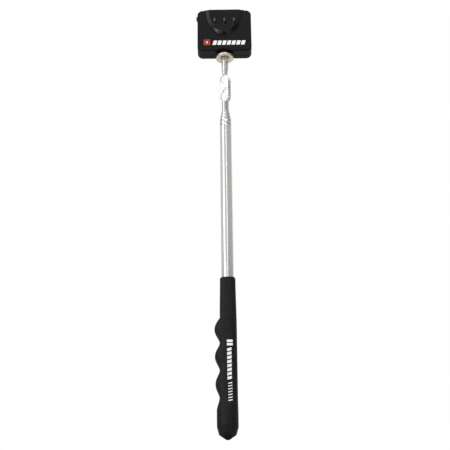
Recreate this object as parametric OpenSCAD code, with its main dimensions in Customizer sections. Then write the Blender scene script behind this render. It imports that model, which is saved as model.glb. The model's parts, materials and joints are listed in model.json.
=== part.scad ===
// Telescoping pickup tool: a lighted magnet head on a double ball joint, four sliding tubes and a
// finger grip. Millimetres. The long axis is +Z with the head up, and the origin is on the tubes'
// axis, in the small flat at the end of the butt. The head's battery cover faces -Y, its magnet
// faces +Y, and the grip's finger ridges face -X.

/* [Grip] */
// Length from the flat of the butt to the top edge
grip_len = 124.7; // [120:0.1:140]
// Radius of the neck at the top edge
neck_r = 5.95; // [5.7:0.05:6.2]
// Radius of the straight back below the neck
back_r = 6.4; // [6.3:0.05:6.8]
// Radius of the swollen butt
butt_r = 7.85; // [7.5:0.05:8.2]
// Distance from the tubes' axis to the crest of a finger ridge
ridge_reach = 10; // [9.4:0.1:10.6]
// Distance from one finger ridge to the next
finger_pitch = 21; // [19:0.5:22]
// Number of finger ridges
ridge_count = 3; // [2:1:3]

/* [Tubes] */
// Outside diameter of the largest tube
tube_od = 9.525; // [9.3:0.005:9.8]
// Step in outside diameter from one tube to the next
tube_step = 1.191; // [1.15:0.001:1.24]
// Wall thickness of each tube
tube_wall = 0.4; // [0.36:0.01:0.44]
// Height of the largest tube's mouth
mouth_z = 264.4; // [255:0.1:268]
// Distance that each tube slides out of the one around it
travel = 205; // [160:5:205]

/* [Ball joint] */
// Diameter of both balls
ball_d = 6.35; // [6:0.05:6.5]
// Height of the lower ball's centre
lower_ball_z = 284.7; // [284.6:0.1:285.2]
// Distance between the two balls' centres
ball_span = 16.2; // [15:0.1:17]
// Width of each clamp plate
plate_w = 8.3; // [7.8:0.1:8.4]
// Gap between the two clamp plates
plate_gap = 3; // [2.9:0.05:3.2]
// Thickness of the plates' sheet
sheet = 1; // [0.8:0.1:1.2]
// Turn of the plates about the tool's axis, in degrees
link_turn = -30; // [-60:5:60]

/* [Head] */
// Height of the head's underside
head_z = 326.5; // [326:0.1:329]
// Width of the head
head_w = 45.3; // [44.5:0.1:48]
// Height of the head
head_h = 40.7; // [40:0.1:43]
// Thickness of the head between its two faces
head_d = 13; // [12.6:0.1:14]
// Wall thickness of the two shells
wall = 1.5; // [1.3:0.1:1.6]
// Height of the battery door's plateau above the cover
door_rise = 1.5; // [1:0.1:1.8]

/* [Hidden] */
$fn = 64;

// Fits, each on the radius or on one side
line_fit = 0.01;   // pressed or glued parts that only touch
run_fit = 0.03;    // turning parts
slide_fit = 0.05;  // sliding parts
far = 60;          // reach of a cutting block beyond the head

// Grip
flat_r = 1.8;
butt_x = -1.3;
corner_z = 3.8;
corner_in = 1.5;
chamfer_z = 9.4;
swell_z = 22;
waist_z = 31;
waist_r = 5.6;
lip = 0.8;
neck_z = 98;
tube_z = 11;
valley_reach = back_r;
first_ridge_z = 83.7;
ridge_half_w = 5.6;
ridge_depth = ridge_reach - valley_reach;
// Ridges and valleys are equal arcs that meet at a shared tangent
finger_r = (pow(finger_pitch / 2, 2) + pow(ridge_depth, 2)) / (4 * ridge_depth);

// Tubes, numbered from the largest, 0 to 3
function tube_r(i) = (tube_od - i * tube_step) / 2;
function bore_r(i) = tube_r(i) - tube_wall;
tip_step = 3.1;
function tip_z(i) = mouth_z + i * tip_step;
inner_top_z = lower_ball_z - 5.1;
plug_len = 8;
plug_flange = 1;
function base_z(i) = i == 0 ? tube_z : tube_z + plug_len + 1 + i;
swage_len = 4;
swage_taper = 1.5;
stop_gap = 0.5;
sleeve_len = 26;
sleeve_slit = 1.2;
// A sleeve stops under the swage of the tube around it after the full travel
function sleeve_top(i) = tip_z(i - 1) - swage_len - swage_taper - travel - stop_gap;

// Ball joint
ball_r = ball_d / 2;
upper_ball_z = lower_ball_z + ball_span;
link_mid_z = lower_ball_z + ball_span / 2;
dome_wall = 0.8;
pin_clearance = 0.15;
neck_pin_r = plate_gap / 2 - pin_clearance;
shank_len = 15;
shoulder_h = 0.6;
plate_clearance = 0.3;
screw_r = 1.45;
screw_head_r = 2.6;
screw_head_h = 1.4;
screw_slot_w = 0.7;
screw_slot_turn = -30;
screw_past_nut = 0.6;
nut_r = 2.9;
nut_h = 1.9;
washer_r = 2.6;
washer_h = 0.6;
washer_split = 0.6;

// Stem and its bushing
stem_r = 2.75;
cone_z = 306.6;
cone_r = 2.05;
stem_shoulder_z = 312.5;
flange_r = 7.3;
flange_z = head_z - 3.3;
flange_t = 2.3;
flange_dish = 1;
flange_flat_w = 1.2;
flange_top_z = flange_z - flange_dish + flange_t;
neck_boss_r = 5.2;
barrel_r = 3.6;
collar_top_z = head_z + 4.5;
rim_r = 4.1;
rim_h = 0.8;
mouth_r = 3.45;
mouth_h = 2;
rim_top_z = collar_top_z + rim_h;
clip_z = rim_top_z + 0.6;
clip_t = 0.7;
stem_end_h = 1;
groove_r = 2.3;
clip_r = 3.9;

// Head
head_top_z = head_z + head_h;
face_y = head_d / 2;
inner_y = face_y - wall;
seam_y = 1.5;
corner_r = 4.6;
edge_chamfer = 1;
scoop_depth = 1.4;
scoop_chord = 15;
scoop_r = (pow(scoop_chord / 2, 2) + pow(scoop_depth, 2)) / (2 * scoop_depth);
collar_half_w = 8.5;
boss_x = head_w / 2 - 3.85;
boss_z = [head_z + 4.5, head_z + 24.5];
boss_r = 2.3;
cover_screw_r = 0.95;
cover_screw_head_r = 1.8;
cover_screw_head_h = 1.1;
cover_screw_sink = 0.2;
cross_slot = [2.2, 1.2, 0.5];

// Battery door: a squared half ellipse that hangs from the head's top edge and widens towards it
door_a = 15.2;
door_b = 25;
door_power = 2.4;
door_flare = 0.1;
door_gap = 0.15;
flank_w = 4;
door_skin = 1.2;
lip_t = 0.75;
tongue_out = 0.7;
door_back_y = -inner_y - 0.1;
ridge_x = 8.2;
ridge_len = 6;
ridge_r = 1.1;
ridge_z = head_top_z - 10.5;

// Parts inside the head
cell_r = 10;
cell_t = 1.6;
cell_z = head_top_z - 13.1;
cell_y = -inner_y;
contact_t = 0.3;
board_t = 0.8;
board_y = cell_y + 2 * cell_t + 0.45;
magnet_w = 24;
magnet_h = 18;
magnet_z = head_z + 22;
pole_w = 26;
pole_h = 20;
led_x = 17;
led_z = head_z + 14.5;
led_r = 2.5;
button_y = -2.5;
button_z = head_top_z - 6.3;
button_w = 2.4;
button_h = 3.6;
button_out = 0.9;
button_travel = 0.6;
button_flange = [0.4, 0.25];
switch_in = 2.85;
switch_size = [3.8, 3.4, 6];
switch_lift = 0.1;
board_edge = 0.8;
board_low_z = head_z + 10.5;
board_wide_h = 10;
board_h = 27.2;
cell_side_gap = 0.1;
ring_gap = 0.5;
ring_t = 0.7;
strip_w = 4;
strip_len = 14;
led_foot = [0.3, 0.6];
lens_rim = 0.5;
magnet_gap = 0.1;

// Sweeps a flat outline of X and Z through the depth from y0 to y1
module in_depth(y0, y1) {
    translate([0, y1, 0]) rotate([90, 0, 0]) linear_extrude(y1 - y0) children();
}

module ring(r_in, r_out, z0, z1) {
    translate([0, 0, z0]) difference() {
        cylinder(r = r_out, h = z1 - z0);
        translate([0, 0, -1]) cylinder(r = r_in, h = z1 - z0 + 2);
    }
}

module along_y(x, z, r, y0, y1) {
    translate([x, y0, z]) rotate([-90, 0, 0]) cylinder(r = r, h = y1 - y0);
}

// ---- Grip and tubes ----

module finger_outline() {
    mid_reach = (ridge_reach + valley_reach) / 2;
    last_z = first_ridge_z - (ridge_count - 1) * finger_pitch;
    difference() {
        translate([-mid_reach, last_z - finger_pitch / 2])
            square([mid_reach, ridge_count * finger_pitch]);
        for (i = [0 : ridge_count])
            translate([-(valley_reach + finger_r), first_ridge_z + (0.5 - i) * finger_pitch])
                circle(finger_r);
    }
    for (i = [0 : ridge_count - 1])
        translate([-(ridge_reach - finger_r), first_ridge_z - i * finger_pitch]) circle(finger_r);
}

module finger_ridges() {
    reach = ridge_reach + 1 - ridge_half_w;
    intersection() {
        linear_extrude(grip_len) {
            circle(ridge_half_w);
            translate([-reach, -ridge_half_w]) square([reach, 2 * ridge_half_w]);
            translate([-reach, 0]) circle(ridge_half_w);
        }
        in_depth(-butt_r, butt_r) finger_outline();
    }
}

module grip() {
    color("#1c1c1e") difference() {
        union() {
            rotate_extrude() polygon([
                [0, corner_z], [waist_r, corner_z], [back_r, swell_z], [back_r, first_ridge_z],
                [(neck_r + back_r) / 2, neck_z], [neck_r, grip_len - lip],
                [neck_r - lip / 2, grip_len], [0, grip_len]
            ]);
            finger_ridges();
            translate([butt_x, 0, 0]) rotate_extrude() polygon([
                [0, 0], [flat_r, 0], [butt_r - corner_in, corner_z], [butt_r, chamfer_z],
                [butt_r, swell_z], [waist_r, waist_z], [0, waist_z]
            ]);
        }
        translate([0, 0, tube_z - plug_flange - line_fit])
            cylinder(r = tube_r(0) + line_fit, h = grip_len);
    }
}

module tube_end_plug() {
    color("#3a3a3c") translate([0, 0, tube_z - plug_flange]) {
        cylinder(r = tube_r(0), h = plug_flange - line_fit);
        cylinder(r = bore_r(0) - line_fit, h = plug_len);
    }
}

// A tube whose mouth is swaged in around the next tube
module swaged_tube(i) {
    throat_r = tube_r(i + 1) + slide_fit;
    z_end = tip_z(i);
    z_neck = z_end - swage_len;
    rotate_extrude() polygon([
        [bore_r(i), base_z(i)], [tube_r(i), base_z(i)], [tube_r(i), z_neck - swage_taper],
        [throat_r + tube_wall, z_neck], [throat_r + tube_wall, z_end], [throat_r, z_end],
        [throat_r, z_neck], [bore_r(i), z_neck - swage_taper]
    ]);
}

// A split sleeve on a tube's foot, which rubs in the tube around it
module friction_sleeve(i) {
    top = sleeve_top(i);
    color("#b08d4a") difference() {
        ring(tube_r(i) + line_fit, bore_r(i - 1) - slide_fit, top - sleeve_len, top);
        translate([0, -sleeve_slit / 2, top - sleeve_len - 1])
            cube([tube_od, sleeve_slit, sleeve_len + 2]);
    }
}

module outer_tube() {
    color("#d4d4d6") swaged_tube(0);
}

module second_tube() {
    color("#d4d4d6") swaged_tube(1);
}

module second_tube_sleeve() {
    friction_sleeve(1);
}

module third_tube() {
    color("#d4d4d6") swaged_tube(2);
}

module third_tube_sleeve() {
    friction_sleeve(2);
}

module inner_tube() {
    color("#d4d4d6") ring(bore_r(3), tube_r(3), base_z(3), inner_top_z);
}

module inner_tube_sleeve() {
    friction_sleeve(3);
}

// ---- Double ball joint ----

module ball_stud() {
    shoulder_z = inner_top_z + line_fit;
    color("#c9c9cc") {
        translate([0, 0, inner_top_z - shank_len])
            cylinder(r = bore_r(3) - run_fit, h = shank_len + shoulder_h);
        translate([0, 0, shoulder_z]) cylinder(r = tube_r(3), h = shoulder_h - line_fit);
        translate([0, 0, shoulder_z]) cylinder(r = neck_pin_r, h = lower_ball_z - shoulder_z);
        translate([0, 0, lower_ball_z]) sphere(ball_r);
    }
}

// One clamp plate, on the -Y side of the joint, with a domed seat for each ball
module clamp_plate() {
    y_in = -plate_gap / 2;
    difference() {
        union() {
            in_depth(y_in - sheet, y_in) {
                translate([-plate_w / 2, lower_ball_z]) square([plate_w, ball_span]);
                translate([0, lower_ball_z]) circle(plate_w / 2);
                translate([0, upper_ball_z]) circle(plate_w / 2);
            }
            intersection() {
                for (z = [lower_ball_z, upper_ball_z])
                    translate([0, 0, z]) sphere(ball_r + run_fit + dome_wall);
                translate([-far, y_in - far, 0]) cube([2 * far, far, head_z]);
            }
        }
        for (z = [lower_ball_z, upper_ball_z])
            translate([0, 0, z]) sphere(ball_r + run_fit);
        along_y(0, link_mid_z, screw_r + run_fit, y_in - sheet - 1, y_in + 1);
    }
}

module link_plate_front() {
    color("#dcdcde") rotate([0, 0, link_turn]) clamp_plate();
}

module link_plate_back() {
    color("#dcdcde") rotate([0, 0, link_turn]) mirror([0, 1, 0]) clamp_plate();
}

module link_screw() {
    y_face = plate_gap / 2 + sheet + line_fit;
    y_end = y_face + washer_h + nut_h + screw_past_nut;
    color("#bfbfc2") rotate([0, 0, link_turn]) difference() {
        union() {
            along_y(0, link_mid_z, screw_head_r, -y_face - screw_head_h, -y_face);
            along_y(0, link_mid_z, screw_r, -y_face, y_end);
        }
        translate([0, -y_face - screw_head_h, link_mid_z]) rotate([0, screw_slot_turn, 0])
            cube([3 * screw_head_r, screw_head_h, screw_slot_w], center = true);
    }
}

module link_lock_washer() {
    y0 = plate_gap / 2 + sheet + line_fit;
    color("#a5a5a8") rotate([0, 0, link_turn]) difference() {
        along_y(0, link_mid_z, washer_r, y0, y0 + washer_h);
        along_y(0, link_mid_z, screw_r + slide_fit, y0 - 1, y0 + washer_h + 1);
        translate([0, y0 - 1, link_mid_z - washer_split / 2])
            cube([far, washer_h + 2, washer_split]);
    }
}

module link_nut() {
    y0 = plate_gap / 2 + sheet + washer_h + 2 * line_fit;
    color("#bfbfc2") rotate([0, 0, link_turn]) difference() {
        translate([0, y0, link_mid_z]) rotate([-90, 0, 0]) cylinder(r = nut_r, h = nut_h, $fn = 6);
        along_y(0, link_mid_z, screw_r + line_fit, y0 - 1, y0 + nut_h + 1);
    }
}

module head_stem() {
    neck_top = upper_ball_z + plate_w / 2 + plate_clearance;
    stem_top = clip_z + clip_t + stem_end_h;
    color("#c4c0b8") {
        translate([0, 0, upper_ball_z]) sphere(ball_r);
        rotate_extrude() polygon([
            [0, upper_ball_z], [neck_pin_r, upper_ball_z], [neck_pin_r, neck_top],
            [cone_r, cone_z], [stem_r, stem_shoulder_z], [stem_r, clip_z], [groove_r, clip_z],
            [groove_r, clip_z + clip_t], [stem_r, clip_z + clip_t], [stem_r, stem_top],
            [0, stem_top]
        ]);
    }
}

module stem_wave_washer() {
    color("#9a9a9d") ring(stem_r + line_fit, clip_r, rim_top_z + slide_fit, clip_z - slide_fit);
}

module stem_clip() {
    color("#77777a") difference() {
        ring(groove_r + line_fit, clip_r, clip_z + line_fit, clip_z + clip_t - line_fit);
        translate([0, -groove_r, clip_z - 1]) cube([2 * clip_r, 2 * groove_r, clip_t + 2]);
    }
}

module stem_bushing() {
    color("#c9bfa8") rotate_extrude() polygon([
        [mouth_r, flange_z], [flange_r - flange_flat_w, flange_z - flange_dish],
        [flange_r, flange_z - flange_dish], [flange_r, flange_top_z], [barrel_r, flange_top_z],
        [barrel_r, collar_top_z + line_fit], [rim_r, collar_top_z + line_fit],
        [rim_r, rim_top_z], [stem_r + run_fit, rim_top_z], [stem_r + run_fit, flange_z + mouth_h]
    ]);
}

// ---- Head ----

module head_outline(inset) {
    w = head_w / 2;
    h = head_h;
    mid = [w - corner_r, h / 2 - corner_r];
    translate([0, head_z + h / 2]) {
        square([2 * mid.x, h - 2 * inset], center = true);
        square([2 * (w - inset), 2 * mid.y], center = true);
        for (x = [-mid.x, mid.x], z = [-mid.y, mid.y])
            translate([x, z]) circle(corner_r - inset);
    }
}

module chamfered_rect(a, b) {
    c = edge_chamfer;
    polygon([
        [-a + c, -b], [a - c, -b], [a, -b + c], [a, b - c], [a - c, b], [-a + c, b], [-a, b - c],
        [-a, -b + c]
    ]);
}

module head_block() {
    intersection() {
        in_depth(-face_y, face_y) head_outline(0);
        translate([0, 0, head_z - 1]) linear_extrude(head_h + 2) chamfered_rect(head_w / 2, face_y);
        translate([-far, 0, head_z + head_h / 2]) rotate([90, 0, 90])
            linear_extrude(2 * far) chamfered_rect(face_y, head_h / 2);
    }
}

// The hollow of both shells together, around the neck collar and the screw bosses
module head_hollow() {
    difference() {
        in_depth(-inner_y, inner_y) head_outline(wall);
        translate([-collar_half_w, -far, head_z])
            cube([2 * collar_half_w, 2 * far, collar_top_z - head_z]);
        for (x = [-boss_x, boss_x], z = boss_z) along_y(x, z, boss_r, -far, far);
    }
}

// The head's outside, with a scoop in its underside and a boss that reaches down to the flange
module head_body() {
    low_z = flange_top_z + slide_fit;
    difference() {
        head_block();
        along_y(0, head_z + scoop_depth - scoop_r, scoop_r, -far, far);
    }
    translate([0, 0, low_z]) cylinder(r = neck_boss_r, h = head_z + scoop_depth + 1 - low_z);
}

module neck_hole() {
    cylinder(r = barrel_r + line_fit, h = head_top_z - head_h / 2);
}

module head_housing() {
    color("#1b1b1d") difference() {
        intersection() {
            head_body();
            translate([-far, seam_y, 0]) cube([2 * far, far, 2 * head_top_z]);
        }
        head_hollow();
        neck_hole();
        translate([-pole_w / 2 - slide_fit, 0, magnet_z - pole_h / 2 - slide_fit])
            cube([pole_w + 2 * slide_fit, far, pole_h + 2 * slide_fit]);
        for (x = [-led_x, led_x]) along_y(x, led_z, led_r + lens_rim + slide_fit, 0, far);
        for (x = [-boss_x, boss_x], z = boss_z) {
            along_y(x, z, cover_screw_r + slide_fit, -far, far);
            along_y(x, z, cover_screw_head_r + slide_fit,
                face_y - cover_screw_head_h - cover_screw_sink, far);
        }
    }
}

// The door's half width at a share of its height below the head's top edge
function door_half(share, a) =
    a * pow(1 - pow(share, door_power), 1 / door_power) * (1 + door_flare * (1 - share));

// Outline of the door, grown by g on its curved edge and run on past the top edge
module door_outline(g, over) {
    steps = 14;
    b = door_b + g;
    right = [for (i = [0 : steps])
        let (share = sin(90 * i / steps)) [door_half(share, door_a + g), head_top_z - b * share]];
    left = [for (i = [1 : steps]) [-right[steps - i].x, right[steps - i].y]];
    polygon([each right, each left, [left[steps - 1].x, head_top_z + over],
        [right[0].x, head_top_z + over]]);
}

module back_cover() {
    color("#1b1b1d") difference() {
        intersection() {
            head_body();
            translate([-far, seam_y - far, 0]) cube([2 * far, far, 2 * head_top_z]);
        }
        head_hollow();
        neck_hole();
        in_depth(-far, -inner_y) door_outline(0, far);
        in_depth(-face_y + lip_t, -inner_y) door_outline(tongue_out + door_gap, far);
        for (x = [-boss_x, boss_x], z = boss_z)
            along_y(x, z, cover_screw_r + line_fit, -inner_y, far);
        translate([-far, button_y - button_w / 2 - slide_fit, button_z - button_h / 2 - slide_fit])
            cube([far - switch_size.x, button_w + 2 * slide_fit, button_h + 2 * slide_fit]);
    }
}

module cover_screws() {
    y_head = face_y - cover_screw_head_h - cover_screw_sink + line_fit;
    color("#8d8d90") for (x = [-boss_x, boss_x], z = boss_z) difference() {
        union() {
            along_y(x, z, cover_screw_head_r, y_head, y_head + cover_screw_head_h);
            along_y(x, z, cover_screw_r, slide_fit - inner_y, y_head);
        }
        for (turn = [0, 90]) translate([x, y_head + cover_screw_head_h, z]) rotate([0, turn, 0])
            cube(cross_slot, center = true);
    }
}

module battery_door() {
    top_y = -face_y - door_rise;
    color("#222226") {
        difference() {
            union() {
                hull() {
                    in_depth(-face_y - 0.1, -face_y) door_outline(-door_gap, 0);
                    in_depth(top_y, top_y + 0.1) door_outline(-door_gap - flank_w, 0);
                }
                in_depth(-face_y, door_back_y) door_outline(-door_gap, 0);
                in_depth(-face_y + lip_t + door_gap, door_back_y) door_outline(tongue_out, 0);
            }
            in_depth(top_y + door_skin, far) intersection() {
                door_outline(-flank_w - 1.5 * door_skin, 0);
                translate([-far, 0]) square([2 * far, head_top_z - door_skin]);
            }
        }
        for (x = [-ridge_x, 0, ridge_x]) translate([x, top_y, ridge_z]) finger_nub();
    }
}

// A spindle, half sunk in the door, for the fingertip to push on
module finger_nub() {
    half = ridge_len / 2;
    arc_r = (half * half + ridge_r * ridge_r) / (2 * ridge_r);
    sweep = asin(half / arc_r);
    steps = 8;
    rotate_extrude() polygon([
        each [for (i = [-steps : steps])
            let (t = sweep * i / steps) [arc_r * cos(t) - arc_r + ridge_r, arc_r * sin(t)]],
        [0, half], [0, -half]
    ]);
}

// ---- Inside the head ----

module coin_cells() {
    color("#c8c8ca") for (i = [0, 1]) {
        y0 = cell_y + i * (cell_t + line_fit);
        along_y(0, cell_z, cell_r, y0, y0 + cell_t - line_fit);
    }
}

module cell_ring() {
    y1 = board_y - line_fit;
    color("#2c2c30") difference() {
        along_y(0, cell_z, cell_r + ring_gap + ring_t, cell_y + slide_fit, y1);
        along_y(0, cell_z, cell_r + ring_gap, cell_y - 1, y1 + 1);
    }
}

module cell_contact_plus() {
    y1 = cell_y + 2 * cell_t;
    color("#c8b27a") intersection() {
        difference() {
            along_y(0, cell_z, cell_r + cell_side_gap + contact_t, cell_y + slide_fit, y1);
            along_y(0, cell_z, cell_r + cell_side_gap, cell_y - 1, y1 + 1);
        }
        translate([0, -far, cell_z - strip_w]) cube([far, 2 * far, 2 * strip_w]);
    }
}

module cell_contact_minus() {
    y0 = cell_y + 2 * cell_t + run_fit;
    color("#c8b27a") translate([-strip_w / 2, y0, cell_z - strip_len / 2])
        cube([strip_w, contact_t, strip_len]);
}

module circuit_board() {
    wide = boss_x + 1;
    narrow = boss_x - boss_r - board_edge;
    color("#1f5a33") in_depth(board_y, board_y + board_t) {
        translate([-wide, board_low_z]) square([2 * wide, board_wide_h]);
        translate([-narrow, board_low_z]) square([2 * narrow, board_h]);
    }
}

module switch_body() {
    color("#3d3d40") translate([
        switch_in - head_w / 2, button_y - switch_size.y / 2, button_z - switch_size.z / 2
    ]) cube(switch_size);
}

module switch_button() {
    x_out = -head_w / 2 - button_out;
    x_flange = -head_w / 2 + wall + slide_fit;
    x_end = switch_in - head_w / 2 - button_travel - switch_lift;
    color("#151517") translate([0, button_y - button_w / 2, button_z - button_h / 2]) {
        translate([x_out, 0, 0]) cube([x_end - x_out, button_w, button_h]);
        translate([x_flange, -button_flange.x, -button_flange.y])
            cube([x_end - x_flange, button_w + 2 * button_flange.x, button_h + 2 * button_flange.y]);
    }
}

module led_lamps() {
    y0 = board_y + board_t + line_fit;
    dome_y = inner_y - led_r;
    color("#e8e6d8") for (x = [-led_x, led_x]) {
        along_y(x, led_z, led_r, y0, dome_y);
        along_y(x, led_z, led_r + led_foot.x, y0, y0 + led_foot.y);
        intersection() {
            translate([x, dome_y, led_z]) sphere(led_r);
            translate([-far, dome_y, 0]) cube([2 * far, far, head_top_z]);
        }
    }
}

module led_lenses() {
    color("#dfe8ee") for (x = [-led_x, led_x])
        along_y(x, led_z, led_r + lens_rim, inner_y + line_fit, face_y);
}

module magnet() {
    y0 = board_y + board_t + magnet_gap;
    color("#8b8b90") translate([-magnet_w / 2, y0, magnet_z - magnet_h / 2])
        cube([magnet_w, inner_y - y0, magnet_h]);
}

module pole_plate() {
    color("#b9b9bd") translate([-pole_w / 2, inner_y + line_fit, magnet_z - pole_h / 2])
        cube([pole_w, wall - line_fit, pole_h]);
}

grip();
tube_end_plug();
outer_tube();
second_tube();
second_tube_sleeve();
third_tube();
third_tube_sleeve();
inner_tube();
inner_tube_sleeve();
ball_stud();
link_plate_front();
link_plate_back();
link_screw();
link_lock_washer();
link_nut();
head_stem();
stem_wave_washer();
stem_clip();
stem_bushing();
head_housing();
back_cover();
cover_screws();
battery_door();
coin_cells();
cell_ring();
cell_contact_plus();
cell_contact_minus();
circuit_board();
switch_body();
switch_button();
led_lamps();
led_lenses();
magnet();
pole_plate();
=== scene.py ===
"""A telescoping pickup tool: finger grip, four sliding tubes, double ball joint and a flat black
head with a battery door on its back and a magnet on its face. Sizes are in millimetres and become
metres when a mesh is made. The long axis is +Z, the battery door faces -Y, the magnet faces +Y
and the finger ridges face -X."""

import json
import math

import bmesh
import bpy
from mathutils import Matrix, Vector


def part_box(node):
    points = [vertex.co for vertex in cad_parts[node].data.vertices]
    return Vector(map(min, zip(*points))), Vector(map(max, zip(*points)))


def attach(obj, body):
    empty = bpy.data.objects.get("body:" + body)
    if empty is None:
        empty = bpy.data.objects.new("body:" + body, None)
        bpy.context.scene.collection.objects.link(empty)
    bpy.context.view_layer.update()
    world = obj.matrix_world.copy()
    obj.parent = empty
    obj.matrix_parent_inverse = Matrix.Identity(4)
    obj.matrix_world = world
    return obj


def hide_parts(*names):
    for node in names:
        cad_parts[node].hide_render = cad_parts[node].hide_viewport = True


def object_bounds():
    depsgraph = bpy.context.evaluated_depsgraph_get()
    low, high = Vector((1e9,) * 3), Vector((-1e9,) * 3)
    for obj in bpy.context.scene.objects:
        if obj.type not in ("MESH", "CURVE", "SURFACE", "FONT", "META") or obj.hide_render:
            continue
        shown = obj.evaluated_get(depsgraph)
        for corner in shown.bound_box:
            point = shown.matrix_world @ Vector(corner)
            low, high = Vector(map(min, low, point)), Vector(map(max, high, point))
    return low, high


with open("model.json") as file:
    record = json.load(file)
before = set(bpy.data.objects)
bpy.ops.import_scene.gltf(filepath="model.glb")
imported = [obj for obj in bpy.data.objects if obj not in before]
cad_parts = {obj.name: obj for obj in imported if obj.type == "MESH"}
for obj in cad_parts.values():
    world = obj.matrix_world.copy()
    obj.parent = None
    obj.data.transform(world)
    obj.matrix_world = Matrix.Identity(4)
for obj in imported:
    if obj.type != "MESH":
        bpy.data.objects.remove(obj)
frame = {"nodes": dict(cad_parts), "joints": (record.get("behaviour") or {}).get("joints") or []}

CAD_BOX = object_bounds()
MM = 0.001
JOINTS = {joint["name"]: joint for joint in frame["joints"]}


# ---------------------------------------------------------------- measures taken from the frame

def low(node):
    """The lowest corner of a CAD node, in millimetres."""
    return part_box(node)[0] / MM


def high(node):
    """The highest corner of a CAD node, in millimetres."""
    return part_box(node)[1] / MM


TUBES = ("outer_tube", "second_tube", "third_tube", "inner_tube")
TUBE_R = {node: high(node).x for node in TUBES}
TUBE_WALL = 0.4
SLIDE_FIT = 0.05
RUN_FIT = 0.03

LOWER_BALL_Z = JOINTS["link_tilt"]["pos_m"][2] / MM
UPPER_BALL_Z = JOINTS["stem_tilt"]["pos_m"][2] / MM
BALL_R = high("ball_stud").z - LOWER_BALL_Z
LINK_AXIS = Vector(JOINTS["link_tilt"]["axis"])
LINK_TURN = math.atan2(LINK_AXIS.x, LINK_AXIS.y)

HEAD_HIGH = high("head_housing")
FACE_Y = HEAD_HIGH.y
SEAM_Y = high("back_cover").y
HEAD_HALF_W = HEAD_HIGH.x
HEAD_WALL = 1.5
INNER_Y = FACE_Y - HEAD_WALL

EVEN = (1.0, 1.0, 1.0)


# ---------------------------------------------------------------- small maths

def clamp(value, lowest=0.0, highest=1.0):
    return max(lowest, min(highest, value))


def mix(a, b, t):
    return a + (b - a) * t


def smoothstep(start, end, value):
    t = clamp((value - start) / (end - start))
    return t * t * (3 - 2 * t)


def spread(start, end, count):
    """count values from start to end, both included."""
    return [mix(start, end, i / (count - 1)) for i in range(count)]


def arc(cx, cy, radius, start_deg, end_deg, count):
    """Points on a circle, from one angle to another."""
    return [
        (cx + radius * math.cos(math.radians(a)), cy + radius * math.sin(math.radians(a)))
        for a in spread(start_deg, end_deg, count)
    ]


def rounded(corners, steps=6, closed=True):
    """An outline of (a, b, radius) corners with each radius turned into an arc of points."""
    points = []
    last = len(corners) - 1
    for i, (a, b, radius) in enumerate(corners):
        at_end = not closed and i in (0, last)
        if radius == 0 or at_end:
            points.append((a, b))
            continue
        corner = Vector((a, b))
        back = (Vector(corners[i - 1][:2]) - corner).normalized()
        ahead = (Vector(corners[(i + 1) % len(corners)][:2]) - corner).normalized()
        half = back.angle(ahead) / 2
        middle = corner + (back + ahead).normalized() * radius / math.sin(half)
        start = corner + back * radius / math.tan(half) - middle
        end = corner + ahead * radius / math.tan(half) - middle
        for t in spread(0, 1, steps):
            spoke = start.lerp(end, t).normalized() * radius
            points.append(tuple(middle + spoke))
    return points


# ---------------------------------------------------------------- mesh building

def make_object(name, bm, crease_deg=35):
    """A mesh object from a bmesh in millimetres, smooth apart from edges sharper than crease_deg."""
    bmesh.ops.remove_doubles(bm, verts=bm.verts, dist=1e-4)
    bmesh.ops.recalc_face_normals(bm, faces=bm.faces)
    bmesh.ops.scale(bm, vec=(MM, MM, MM), verts=bm.verts)
    set_creases(bm, crease_deg)
    mesh = bpy.data.meshes.new(name)
    bm.to_mesh(mesh)
    bm.free()
    piece = bpy.data.objects.new(name, mesh)
    bpy.context.scene.collection.objects.link(piece)
    return piece


def set_creases(bm, crease_deg):
    limit = math.radians(crease_deg)
    for face in bm.faces:
        face.smooth = True
    for edge in bm.edges:
        edge.smooth = len(edge.link_faces) == 2 and edge.calc_face_angle() < limit


def bridge(bm, loop_a, loop_b, closed=True):
    """Quads between two rows of vertices of the same length."""
    count = len(loop_a)
    for i in range(count if closed else count - 1):
        j = (i + 1) % count
        ring = [loop_a[i], loop_a[j], loop_b[j], loop_b[i]]
        corners = [v for k, v in enumerate(ring) if v not in ring[:k]]
        if len(corners) > 2:
            bm.faces.new(corners)


def add_loop(bm, points):
    return [bm.verts.new(p) for p in points]


def lathe(name, profile, segments=96, ring=False):
    """Turns a profile of (radius, z) points about the Z axis. A ring's profile is a closed outline;
    any other profile starts and ends on the axis."""
    bm = bmesh.new()
    rows = []
    for radius, z in profile:
        if radius < 1e-6:
            rows.append([bm.verts.new((0, 0, z))] * segments)
            continue
        turn = [2 * math.pi * i / segments for i in range(segments)]
        rows.append(add_loop(bm, [(radius * math.cos(t), radius * math.sin(t), z) for t in turn]))
    for lower, upper in zip(rows, rows[1:]):
        bridge(bm, lower, upper)
    if ring:
        bridge(bm, rows[-1], rows[0])
    return make_object(name, bm)


def prism(name, outline, y0, y1, crease_deg=35):
    """A flat outline of (x, z) points swept through the depth from y0 to y1."""
    bm = bmesh.new()
    near = add_loop(bm, [(x, y0, z) for x, z in outline])
    away = add_loop(bm, [(x, y1, z) for x, z in outline])
    bridge(bm, near, away)
    bm.faces.new(near)
    bm.faces.new(away)
    return make_object(name, bm, crease_deg)


def round_box(name, lowest, highest, radius, steps=4):
    """A box with every edge rounded."""
    bm = bmesh.new()
    bmesh.ops.create_cube(bm, size=1)
    for v in bm.verts:
        v.co = Vector([mix(lo, hi, c + 0.5) for lo, hi, c in zip(lowest, highest, v.co)])
    bmesh.ops.bevel(
        bm, geom=list(bm.edges), offset=radius, segments=steps, profile=0.5, affect="EDGES"
    )
    return make_object(name, bm, 80)


def rod_y(name, x, z, radius, y0, y1, segments=48):
    """A cylinder along Y, used to cut holes."""
    return prism(name, arc(x, z, radius, 0, 360 - 360 / segments, segments), y0, y1)


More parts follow.
